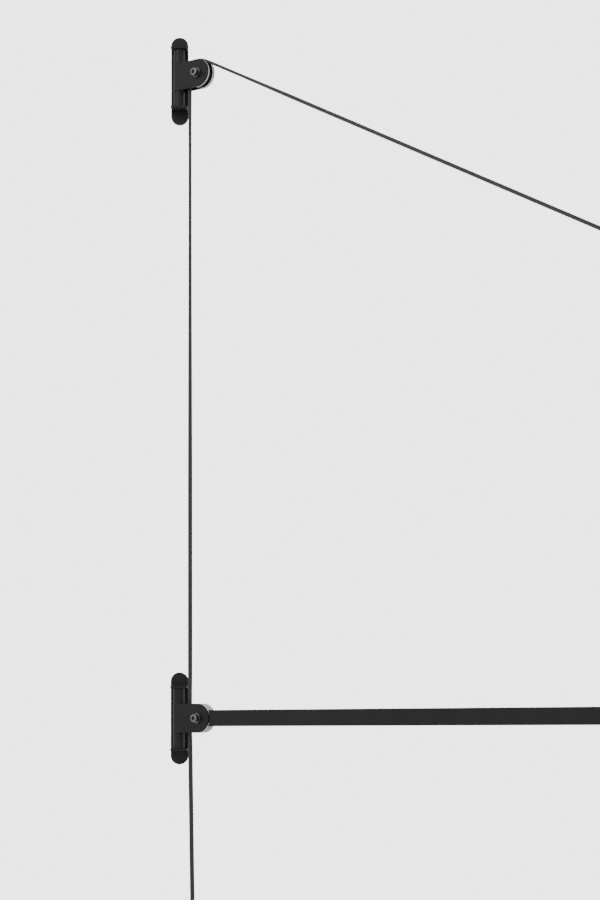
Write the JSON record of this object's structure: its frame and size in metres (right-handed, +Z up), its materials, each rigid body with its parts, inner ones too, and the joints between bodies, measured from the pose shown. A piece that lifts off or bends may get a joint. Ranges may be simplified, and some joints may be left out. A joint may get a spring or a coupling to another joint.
{
  "type": "wall mounted swing arm with pulley stay",
  "caption": "Black swing arm on a wall clevis, held level by a cord that runs from its tip over a pulley on an upper wall clevis.",
  "frame": {"origin": "middle of the back face of the lower wall strip, on the wall", "axes": "wall in the plane Y = 0, room on the -Y side, +X to the right, +Z up"},
  "size_m": [1.3512, 1.0679, 1.2115],
  "materials": {
    "black_coat": "satin",
    "dark_steel": "satin",
    "plain_steel": "brushed",
    "brass": "satin",
    "bronze": "satin",
    "pale_nylon": "satin",
    "black_plastic": "matte",
    "black_wood": "satin",
    "black_cord": "matte"
  },
  "bodies": {
    "wall_brackets": {"lower_wall_strip": "plain_steel", "lower_wall_plate": "black_coat", "lower_grub_screw": "dark_steel", "lower_swivel_pin": "brass", "lower_top_spacer": "black_coat", "lower_bottom_spacer": "black_coat", "lower_thrust_washers": "black_plastic", "upper_wall_strip": "plain_steel", "upper_wall_plate": "black_coat", "upper_grub_screw": "dark_steel", "upper_swivel_pin": "brass", "upper_top_spacer": "black_coat", "upper_bottom_spacer": "black_coat", "upper_thrust_washers": "black_plastic"},
    "lower_clevis": {"lower_clevis_strap": "black_coat", "lower_swivel_bush": "bronze", "lower_axle_bolt": "dark_steel", "lower_bolt_washer": "dark_steel", "lower_cap_nut": "dark_steel", "lower_near_disc": "pale_nylon", "lower_far_disc": "pale_nylon", "cord_grip_block": "plain_steel", "cord_grip_screw": "dark_steel", "pull_knob": "black_wood", "stay_cord": "black_cord", "down_cord": "black_cord"},
    "upper_clevis": {"upper_clevis_strap": "black_coat", "upper_swivel_bush": "bronze", "upper_axle_bolt": "dark_steel", "upper_bolt_washer": "dark_steel", "upper_cap_nut": "dark_steel", "upper_near_disc": "pale_nylon", "upper_far_disc": "pale_nylon"},
    "pulley": {"pulley_wheel": "black_plastic", "pulley_bush": "bronze"},
    "arm": {"arm_hub": "black_coat", "arm_hub_bush": "bronze", "arm_tube": "black_coat", "arm_tip_fork": "black_coat", "tip_pin": "plain_steel", "cord_sleeve": "dark_steel"}
  },
  "joints": [
    {"name": "lower_swivel", "type": "hinge", "parent": "wall_brackets", "child": "lower_clevis", "pos_m": [0, -0.019, 0], "axis": [0, 0, 1], "range_deg": [-142, 38]},
    {"name": "upper_swivel", "type": "hinge", "parent": "wall_brackets", "child": "upper_clevis", "pos_m": [0, -0.019, 0.82], "axis": [0, 0, 1], "range_deg": [-142, 38]},
    {"name": "pulley_spin", "type": "hinge", "parent": "upper_clevis", "child": "pulley", "pos_m": [0.02837, -0.04116, 0.82], "axis": [-0.6157, -0.788, 0], "continuous": true},
    {"name": "arm_lift", "type": "hinge", "parent": "lower_clevis", "child": "arm", "pos_m": [0.02837, -0.04116, 0], "axis": [-0.6157, -0.788, 0], "range_deg": [0, 25], "deforming": ["stay_cord"]}
  ],
  "couplings": [
    {"joint": "upper_swivel", "follows": "lower_swivel", "ratio": 1}
  ]
}
